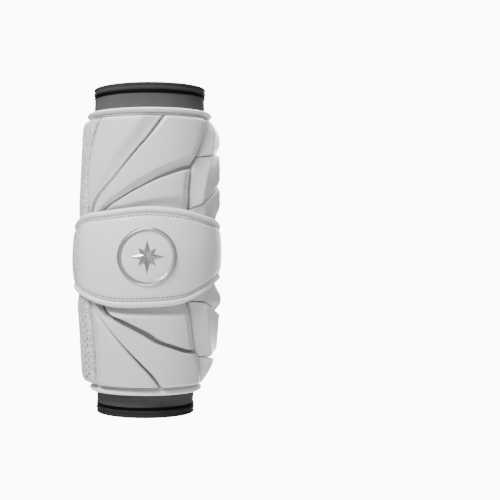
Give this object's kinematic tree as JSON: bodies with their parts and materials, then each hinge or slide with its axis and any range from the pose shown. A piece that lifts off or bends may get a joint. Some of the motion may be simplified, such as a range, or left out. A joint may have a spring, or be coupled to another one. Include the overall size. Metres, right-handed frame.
{
  "type": "lacrosse arm pad",
  "caption": "White and grey lacrosse arm pad with stuffed grooved panels, a domed elbow cap, two elastic back straps and a stretch arm sleeve.",
  "frame": {"origin": "on the arm's axis at the middle of the pad's height, inside the sleeve", "axes": "+Z along the arm towards the shoulder end, -Y out of the front of the elbow cap, +X to the side of the bolster blocks"},
  "size_m": [0.1572, 0.1226, 0.341],
  "materials": {
    "knit": "stretch knit, mid grey",
    "hem": "ribbed elastic, dark grey",
    "leather": "matte synthetic leather, light grey",
    "binding": "smooth bias binding, white",
    "loop": "brushed loop fabric, white",
    "elastic": "woven elastic, white",
    "lining": "foam lining, black",
    "silver": "satin silver moulding"
  },
  "bodies": {
    "root": {"sleeve": "knit", "upper_hem": "hem", "lower_hem": "hem", "upper_pad_base": "leather", "upper_pad_edge_strip": "leather", "upper_pad_outer_panel": "leather", "upper_pad_middle_panel": "leather", "upper_pad_corner_panel": "leather", "upper_pad_edge_band": "binding", "upper_pad_bolster_block_1": "leather", "upper_pad_bolster_block_2": "leather", "upper_pad_bolster_block_3": "leather", "lower_pad_base": "leather", "lower_pad_edge_strip": "leather", "lower_pad_outer_panel": "leather", "lower_pad_middle_panel": "leather", "lower_pad_corner_panel": "leather", "lower_pad_edge_band": "binding", "lower_pad_bolster_block_1": "leather", "lower_pad_bolster_block_2": "leather", "lower_pad_bolster_block_3": "leather", "upper_flap": "loop", "upper_flap_binding": "binding", "lower_flap": "loop", "lower_flap_binding": "binding", "elbow_cap": "leather", "elbow_cap_upper_piping": "binding", "elbow_cap_lower_piping": "binding", "elbow_cap_lining": "lining", "medallion_ring": "silver", "medallion_disc": "leather", "medallion_emblem": "silver", "upper_strap": "elastic", "lower_strap": "elastic", "lower_strap_pull_tab": "elastic", "side_tab_right": "hem", "side_tab_left": "hem"}
  },
  "joints": []
}
